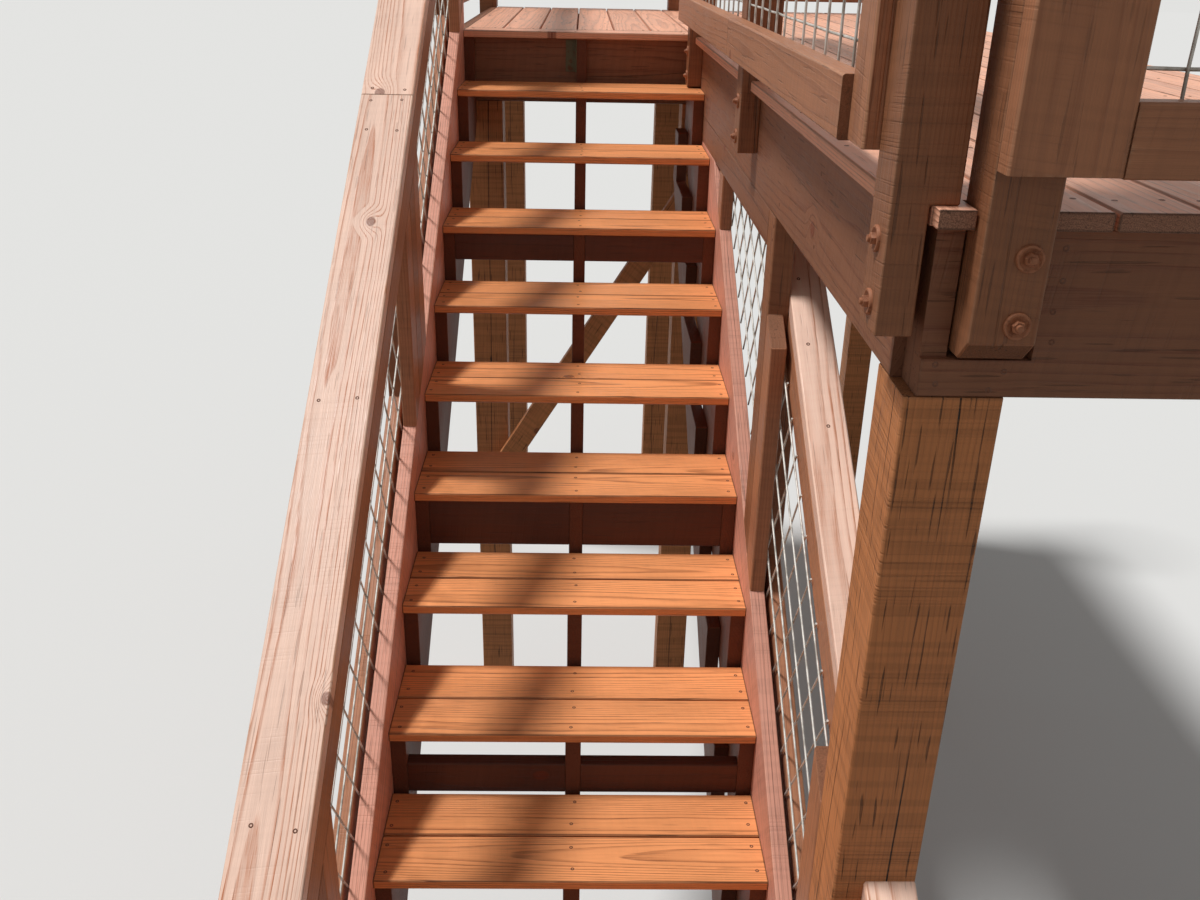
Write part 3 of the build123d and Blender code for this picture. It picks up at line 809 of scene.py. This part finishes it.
def in_pairs(heads, draw, spots, step, normal):
    """Adds two screws a step apart at each of the spots, none set quite true."""
    for place in spots:
        for side in (-0.5, 0.5):
            stray = Vector([draw.uniform(-1.0, 1.0) for _ in range(3)]) * STRAY
            stray -= normal * stray.dot(normal)
            heads.append((place + step * side + stray, normal))


def tread_heads(draw):
    """Two rows of screws in each board of a tread, over the three stringers."""
    heads = []
    for k in range(1, TREADS + 1):
        for n in range(2):
            for inset in (0.032, 0.106):
                for x in (-HALF + 0.020, 0.0, HALF - 0.020):
                    y = n * BOARD_PITCH - k * GOING + inset
                    y += draw.uniform(-TREAD_STRAY, TREAD_STRAY)
                    x += draw.uniform(-TREAD_STRAY, TREAD_STRAY)
                    heads.append((spot(x, y, LANDING_TOP - k * RISE), UP))
    return heads


def deck_heads(draw):
    """Screws of the deck's and the landing's boards over each joist, and of the nosing board."""
    heads = []
    for n in range(11):
        left = DECK_LEFT + (BOARD_PITCH + (n - 1) * DECK_PITCH if n else 0.0)
        width = WIDTH_6 if n == 0 else DECK_BOARD if n < 10 else LAST_BOARD
        for row in range(12):
            y = DECK_FIRST_JOIST + (0.3874 if row else -0.019) + max(row - 1, 0) * JOIST_STEP
            place = spot(left + width / 2.0, y, LANDING_TOP)
            in_pairs(heads, draw, [place], ACROSS * (width - 0.050), UP)
    for n in range(6):
        centre = DECK_LEFT - BOARD_GAP - WIDTH_6 / 2.0 - n * BOARD_PITCH
        for row in range(4):
            place = spot(centre, 0.1612 + row * JOIST_STEP, LANDING_TOP)
            in_pairs(heads, draw, [place], ACROSS * 0.090, UP)
    row = [spot(x, 0.070, LANDING_TOP) for x in (-0.420, -0.02, 0.385)]
    in_pairs(heads, draw, row, ALONG * 0.080, UP)
    return heads


def cap_heads(draw):
    """Screws of the flight's caps, and of the guard's caps at its posts."""
    heads = []
    pitched = Vector((0.0, -SLOPE, 1.0)).normalized()
    for y in (-0.083, -1.334, -1.372, -1.470, -2.970, -4.470, -0.80, -2.20, -3.70):
        place = spot(-HALF - WIDTH_6 * 0.5, y, nose_line(y) + RAIL_HEIGHT)
        in_pairs(heads, draw, [place], ACROSS * 0.080, pitched)
    for y in (-1.890, -2.057, -2.248, -2.700, -3.180, -3.700, -4.200, -4.520):
        x = 0.542 + draw.uniform(-0.020, 0.014)
        heads.append((spot(x, y, nose_line(y) + RAIL_HEIGHT), pitched))
    rows = (
        ([(CAP_SIDE, y) for y in (-2.996, -1.554, -0.084)], ACROSS),
        ([(x, CAP_FRONT) for x in (0.548, 1.614)], ALONG),
        ([(CAP_LEFT, y) for y in (0.006, 1.796)], ALONG),
        ([(x, CAP_BACK) for x in (-0.440, 0.491, 1.671)], ALONG),
    )
    for places, step in rows:
        in_pairs(heads, draw, [spot(x, y, GUARD_TOP) for x, y in places], step * 0.070, UP)
    return heads


def frame_heads(draw):
    """Screws of the rims, the ledge, the landing's front and the rail posts."""
    heads = []
    near_post = ((0.631, -0.052), (0.635, -0.095), (0.630, -0.137), (0.636, -0.179),
                 (0.484, -0.213), (0.579, -0.222), (0.488, -0.241), (0.562, -0.249))
    for x, z in near_post:
        heads.append((spot(x, RIM_FRONT, LANDING_TOP + z), FRONT))
        heads.append((spot(0.464 + RIM_RIGHT - x, RIM_FRONT, LANDING_TOP + z), FRONT))
    row = [spot(x, RIM_FRONT, LANDING_TOP - 0.143) for x in (0.93, 1.24)]
    in_pairs(heads, draw, row, UP * 0.150, FRONT)
    row = [spot(HALF, y, LANDING_TOP - 0.150) for y in (-2.80, -2.38, -1.97, -1.17, -0.76, -0.36)]
    in_pairs(heads, draw, row, UP * 0.140, LEFT)
    joists = (-2.55, -2.15, -1.74, -1.33, -0.93, -0.52, 0.3, 1.1)
    row = [spot(RIM_RIGHT, y, LANDING_TOP - 0.150) for y in joists]
    in_pairs(heads, draw, row, UP * 0.160, ACROSS)
    row = [spot(x, RIM_BACK, LANDING_TOP - 0.150) for x in (-0.42, 0.02, 0.47, 0.90, 1.30, 1.67)]
    in_pairs(heads, draw, row, UP * 0.160, ALONG)
    in_pairs(heads, draw, [spot(HALF, -1.922, LANDING_TOP - 0.300)], UP * 0.026, LEFT)
    row = [spot(x, 0.0500, LANDING_TOP - 0.140) for x in (-0.20, 0.20)]
    in_pairs(heads, draw, row, UP * 0.150, FRONT)
    for y in RAIL_POSTS_Y:
        place = spot(-FRAME_OUTER, y, nose_line(y) + 0.020)
        in_pairs(heads, draw, [place, place + UP * 0.580], UP * 0.045, LEFT)
    for y in (-1.890, -4.470):
        in_pairs(heads, draw, [spot(FRAME_OUTER, y, nose_line(y) + 0.020)], UP * 0.045, ACROSS)
    return heads


def guard_bolts():
    """Two bolts through the rim at each of the guard's front and side posts."""
    shape = bmesh.new()
    for x, z in ((0.565, 0.053), (0.564, 0.141), (1.614, 0.053), (1.614, 0.141)):
        bolt(shape, spot(x, GUARD_FRONT, LANDING_TOP - z), FRONT)
    for y in (-2.9956, -1.5545, -0.0845):
        for z in (0.053, 0.139):
            bolt(shape, spot(GUARD_SIDE, y, LANDING_TOP - z), LEFT)
    ride_root(made_object("guard_bolts", shape, finish_named("stained_metal"), sharp=40.0), None)


class StairOperator:
    """What every operator of the stairs shares."""

    bl_options = {"REGISTER", "UNDO"}


class STAIRS_OT_stage(StairOperator, bpy.types.Operator):
    """Lays the floor, lights the stairs softly and sets the camera"""

    bl_idname = "stairs.stage"
    bl_label = "Stage"

    def execute(self, context):
        stage = context.scene.deck_stairs.stage
        context.scene.view_settings.view_transform = "Standard"
        shape = bmesh.new()
        bmesh.ops.create_circle(shape, cap_ends=True, segments=64, radius=FLOOR_RADIUS)
        finish = Finish("studio_floor")
        pale = finish.node("ShaderNodeBsdfDiffuse", {}, {"Color": tuple(stage.floor)})[0]
        dim = finish.node("ShaderNodeBsdfDiffuse", {}, {"Color": tuple(stage.bounce)})[0]
        mix = finish.node("ShaderNodeMixShader", {}, {0: finish.seen(), 1: dim, 2: pale})[0]
        finish.node("ShaderNodeOutputMaterial", {}, {"Surface": mix})
        floor = made_object("studio_floor", shape, finish.material)

        world = bpy.data.worlds.new("studio_light")
        context.scene.world = world
        sky = Finish("studio_light", world)
        shown = sky.node("ShaderNodeBackground", {}, {"Color": tuple(stage.floor)})[0]
        even = {"Strength": stage.sky, "Color": (1.0, 1.0, 1.0)}
        lit = sky.node("ShaderNodeBackground", {}, even)[0]
        mix = sky.node("ShaderNodeMixShader", {}, {0: sky.seen(), 1: lit, 2: shown})[0]
        sky.node("ShaderNodeOutputWorld", {}, {"Surface": mix})

        lamp = bpy.data.lights.new("key_light", "SUN")
        lamp.energy = stage.key
        lamp.angle = stage.softness
        key = bpy.data.objects.new("key_light", lamp)
        key.rotation_mode = "QUATERNION"
        key.rotation_quaternion = TO_KEY.to_track_quat("Z", "Y")
        context.scene.collection.objects.link(key)

        lens = bpy.data.cameras.new("camera")
        lens.lens = stage.lens
        lens.sensor_width = 36.0
        lens.clip_end = 500.0
        camera = bpy.data.objects.new("camera", lens)
        sine, cosine = math.sin(stage.pitch), math.cos(stage.pitch)
        ahead = Vector((math.sin(stage.yaw) * cosine, math.cos(stage.yaw) * cosine, -sine))
        level = Vector((math.cos(stage.yaw), -math.sin(stage.yaw), 0.0))
        down = ahead.cross(level)
        right = math.cos(stage.roll) * level + math.sin(stage.roll) * down
        low = -math.sin(stage.roll) * level + math.cos(stage.roll) * down
        turned = Matrix((right, -low, -ahead)).transposed()
        camera.matrix_world = Matrix.Translation(stage.eye) @ turned.to_4x4()
        context.scene.collection.objects.link(camera)
        context.scene.camera = camera
        return {"FINISHED"}


class STAIRS_OT_flight(StairOperator, bpy.types.Operator):
    """Dresses the treads, the stringers and the skirt boards"""

    bl_idname = "stairs.flight"
    bl_label = "Flight"

    def execute(self, context):
        dress(f"tread_{k:02d}" for k in range(1, TREADS + 1))
        dress(("stringer_left", "stringer_middle", "stringer_right", "stringer_sister"), sawn=True)
        dress(("stringer_blocks",))
        dress(("skirt_left", "skirt_right"), sawn=True)
        return {"FINISHED"}


class STAIRS_OT_railings(StairOperator, bpy.types.Operator):
    """Dresses the posts, stiles, rails and caps beside the flight"""

    bl_idname = "stairs.railings"
    bl_label = "Railings"

    def execute(self, context):
        for side in ("left", "right"):
            dress((f"rail_posts_{side}", f"stiles_{side}"), sawn=True)
            dress((f"top_rail_{side}", f"cap_{side}", f"low_rail_{side}"))
        return {"FINISHED"}


class STAIRS_OT_deck(StairOperator, bpy.types.Operator):
    """Dresses the rims, joists, boards and posts of the landing and the deck"""

    bl_idname = "stairs.deck"
    bl_label = "Landing and deck"

    def execute(self, context):
        dress(("landing_front_rim", "landing_left_rim", "landing_nosing", "landing_boards",
               "deck_side_rim", "side_ledge", "deck_inner_rim", "deck_outer_rim",
               "deck_right_rim", "back_rim", "deck_border", "deck_boards"))
        dress(("landing_joists", "deck_joists", "landing_brace", "under_posts", "corner_post"),
              sawn=True)
        return {"FINISHED"}


class STAIRS_OT_guard(StairOperator, bpy.types.Operator):
    """Dresses the posts, rails, trims and caps round the deck"""

    bl_idname = "stairs.guard"
    bl_label = "Guard"

    def execute(self, context):
        dress(("guard_posts",), sawn=True)
        dress(("guard_rails", "guard_trims", "guard_caps"))
        return {"FINISHED"}


class STAIRS_OT_wire(StairOperator, bpy.types.Operator):
    """Weaves the round wires of every mesh panel"""

    bl_idname = "stairs.wire"
    bl_label = "Wire mesh"

    def execute(self, context):
        tilt = math.degrees(math.atan(SLOPE))
        left_bays = ((-1.426, -0.0389), (-2.926, -1.5149), (-4.426, -3.0149))
        outlines = [flight_outline(bay, under_rail) for bay in left_bays]
        mirrored = [[(-u, v) for u, v in reversed(outline)] for outline in outlines]
        panels = [(spot(-SKIRT_OUTER, 0, 0), -ALONG, UP, outline, -tilt) for outline in mirrored]
        wire_piece("mesh_left_wires", panels, "mesh_left")

        right_bays = ((-2.9003, -1.9349), (-4.426, -3.040))
        ledge_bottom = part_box("side_ledge")[0].z
        outlines = [flight_outline(bay, under_rail) for bay in right_bays]
        outlines.append(flight_outline((-1.846, -0.861), lambda y: ledge_bottom + LAP))
        panels = [(spot(SKIRT_OUTER, 0, 0), ALONG, UP, outline, tilt) for outline in outlines]
        wire_piece("mesh_right_wires", panels, "mesh_right")

        panels = [(spot(GUARD_SIDE, 0, 0), ALONG, UP, guard_outline(bay), 90.0)
                  for bay in ((-2.8622, -1.5989), (-1.510, -0.1289))]
        wire_piece("guard_mesh_side_wires", panels, "guard_mesh_side")
        behind = GUARD_FRONT + 2.0 * context.scene.deck_stairs.sizes.wire
        front = (spot(0, behind, 0), ACROSS, UP, guard_outline((0.5929, 1.5694)), 0.0)
        wire_piece("guard_mesh_front_wires", [front], "guard_mesh_front")
        left = (spot(-FRAME_OUTER, 0, 0), ALONG, UP, guard_outline((0.050, 1.7519)), 90.0)
        wire_piece("guard_mesh_left_wires", [left])
        back = [(spot(0, GUARD_BACK, 0), ACROSS, UP, guard_outline(bay), 90.0)
                for bay in ((-0.447, 0.447), (0.5359, 1.6264))]
        wire_piece("guard_mesh_back_wires", back)
        return {"FINISHED"}


class STAIRS_OT_fasteners(StairOperator, bpy.types.Operator):
    """Drives the screws and bolts, and paints the steel angle"""

    bl_idname = "stairs.fasteners"
    bl_label = "Fasteners"

    def execute(self, context):
        draw = random.Random(SEED)
        screw_heads("tread_screws", tread_heads(draw))
        screw_heads("deck_screws", deck_heads(draw))
        screw_heads("cap_screws", cap_heads(draw))
        screw_heads("frame_screws", frame_heads(draw))
        guard_bolts()
        for place in frame["nodes"]["stringer_angle"].material_slots:
            place.material = finish_named("steel_angle")
        return {"FINISHED"}


STEPS = (STAIRS_OT_stage, STAIRS_OT_flight, STAIRS_OT_railings, STAIRS_OT_deck, STAIRS_OT_guard,
         STAIRS_OT_wire, STAIRS_OT_fasteners)


class STAIRS_PT_panel(bpy.types.Panel):
    """Lists the steps that build the stairs, and their settings"""

    bl_idname = "STAIRS_PT_panel"
    bl_label = "Deck Stairs"
    bl_space_type = "VIEW_3D"
    bl_region_type = "UI"
    bl_category = "Deck Stairs"

    def draw(self, context):
        for step in STEPS:
            self.layout.operator(step.bl_idname, text=step.bl_label)
        settings = context.scene.deck_stairs
        for group in (settings.stains, settings.metals, settings.sizes, settings.stage):
            box = self.layout.box()
            for name in type(group).__annotations__:
                box.prop(group, name)


CLASSES = (StairStains, StairMetals, StairSizes, StairStage, StairSettings, *STEPS, STAIRS_PT_panel)


def register():
    for cls in CLASSES:
        bpy.utils.register_class(cls)
    bpy.types.Scene.deck_stairs = PointerProperty(type=StairSettings)


def unregister():
    del bpy.types.Scene.deck_stairs
    for cls in reversed(CLASSES):
        bpy.utils.unregister_class(cls)


def main():
    register()
    bpy.ops.stairs.stage()
    bpy.ops.stairs.flight()
    bpy.ops.stairs.railings()
    bpy.ops.stairs.deck()
    bpy.ops.stairs.guard()
    bpy.ops.stairs.wire()
    bpy.ops.stairs.fasteners()


if __name__ == "__main__":
    main()
